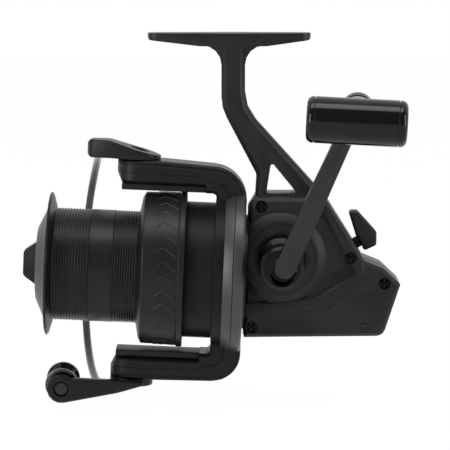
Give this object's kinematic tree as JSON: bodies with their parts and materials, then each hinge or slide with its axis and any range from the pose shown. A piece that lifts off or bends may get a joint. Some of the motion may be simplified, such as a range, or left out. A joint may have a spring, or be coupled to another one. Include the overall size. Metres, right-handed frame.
{
  "type": "long-cast spinning reel",
  "caption": "Fixed-spool long-cast fishing reel: foot and stem on a geared body, folding-type crank with T knob, rotor with bail wire and line roller, oscillating spool and front drag knob.",
  "frame": {"origin": "centre of the foot's flat seat, on the face that lies against the rod", "axes": "+Z out of the seat towards the rod, +X to the rear of the reel, -X towards the spool's front, -Y to the handle side"},
  "size_m": [0.1841, 0.1701, 0.1807],
  "materials": {
    "casting": "satin black paint",
    "cover_plastic": "fine matt black",
    "rotor_plastic": "satin black",
    "painted_arm": "satin black paint",
    "spool_aluminium": "black anodised",
    "gloss_knob": "gloss black",
    "black_screw": "black oxide",
    "wire_steel": "black chrome",
    "bearing_steel": "ground steel",
    "brass": "machined",
    "zinc": "die cast",
    "fibre": "pressed fibre"
  },
  "bodies": {
    "frame": {"body_housing": "casting", "side_cover": "cover_plastic", "cover_screw_1": "black_screw", "cover_screw_2": "black_screw", "cover_screw_3": "black_screw", "cover_screw_4": "black_screw", "oil_port_plug": "zinc", "drive_cover_ring": "cover_plastic", "drive_bearing_near": "bearing_steel", "drive_bearing_far": "bearing_steel", "far_side_cap": "casting", "pinion_bearing": "bearing_steel", "roller_clutch": "bearing_steel", "guide_rod": "bearing_steel"},
    "lever": {"anti_reverse_lever": "cover_plastic"},
    "crank": {"drive_gear": "zinc", "handle_hub": "painted_arm", "fold_pin": "bearing_steel", "handle_arm": "painted_arm", "knob_post": "bearing_steel", "knob_screw": "black_screw"},
    "knob": {"handle_knob": "gloss_knob", "knob_cap_front": "gloss_knob", "knob_cap_rear": "gloss_knob", "knob_bush": "brass"},
    "crosswind": {"crosswind_gear": "brass"},
    "rotor": {"rotor": "rotor_plastic", "pinion_gear": "brass", "clutch_sleeve": "bearing_steel", "rotor_nut": "bearing_steel", "arm_cover_top": "cover_plastic", "arm_cover_bottom": "cover_plastic", "bail_spring": "bearing_steel", "bail_trip_lever": "zinc", "bail_pivot_screw_top": "black_screw", "bail_pivot_screw_bottom": "black_screw"},
    "bail": {"bail_arm": "rotor_plastic", "bail_wire": "wire_steel", "roller_arm": "rotor_plastic", "roller_screw": "black_screw", "roller_cap": "black_screw"},
    "line_roller": {"line_roller": "wire_steel", "roller_bearing": "bearing_steel"},
    "shaft": {"main_shaft": "bearing_steel", "crosswind_slider": "zinc", "slider_screw": "black_screw", "drag_plate_2": "bearing_steel", "drag_plate_4": "bearing_steel"},
    "spool": {"spool": "spool_aluminium", "spool_bearing": "bearing_steel", "drag_washer_1": "fibre", "drag_washer_3": "fibre", "drag_washer_5": "fibre", "drag_retainer": "bearing_steel"},
    "drag_knob": {"drag_knob": "cover_plastic"}
  },
  "joints": [
    {"name": "crank_turn", "type": "hinge", "parent": "frame", "child": "crank", "pos_m": [0.0247, 0, -0.1078], "axis": [0, 1, 0], "continuous": true},
    {"name": "knob_turn", "type": "hinge", "parent": "crank", "child": "knob", "pos_m": [0.05877, -0.0626, -0.03206], "axis": [-0.0665, -0.9857, -0.1548], "continuous": true},
    {"name": "crosswind_turn", "type": "hinge", "parent": "frame", "child": "crosswind", "pos_m": [0.04562, 0, -0.12084], "axis": [0, 1, 0], "continuous": true},
    {"name": "rotor_turn", "type": "hinge", "parent": "frame", "child": "rotor", "pos_m": [0, 0, -0.11665], "axis": [-0.9991, 0, 0.0427], "continuous": true},
    {"name": "bail_flip", "type": "hinge", "parent": "rotor", "child": "bail", "pos_m": [-0.04596, 0, -0.11468], "axis": [0.0427, 0, 0.9991], "range_deg": [0, 115]},
    {"name": "line_roller_turn", "type": "hinge", "parent": "bail", "child": "line_roller", "pos_m": [-0.08222, 0, -0.17156], "axis": [0.0059, 0.9903, 0.139], "continuous": true},
    {"name": "shaft_slide", "type": "slide", "parent": "frame", "child": "shaft", "axis": [-0.9991, 0, 0.0427], "range_m": [-0.007, 0.013]},
    {"name": "spool_slip", "type": "hinge", "parent": "shaft", "child": "spool", "pos_m": [0, 0, -0.11665], "axis": [-0.9991, 0, 0.0427], "continuous": true},
    {"name": "drag_knob_turn", "type": "hinge", "parent": "shaft", "child": "drag_knob", "pos_m": [0, 0, -0.11665], "axis": [-0.9991, 0, 0.0427], "range_deg": [-360, 360]},
    {"name": "lever_turn", "type": "hinge", "parent": "frame", "child": "lever", "pos_m": [0.0617, 0, -0.1029], "axis": [0.8478, 0, 0.5302], "range_deg": [0, 40]}
  ],
  "couplings": [
    {"joint": "rotor_turn", "follows": "crank_turn", "ratio": 4.1},
    {"joint": "crosswind_turn", "follows": "crank_turn", "ratio": -0.45}
  ]
}
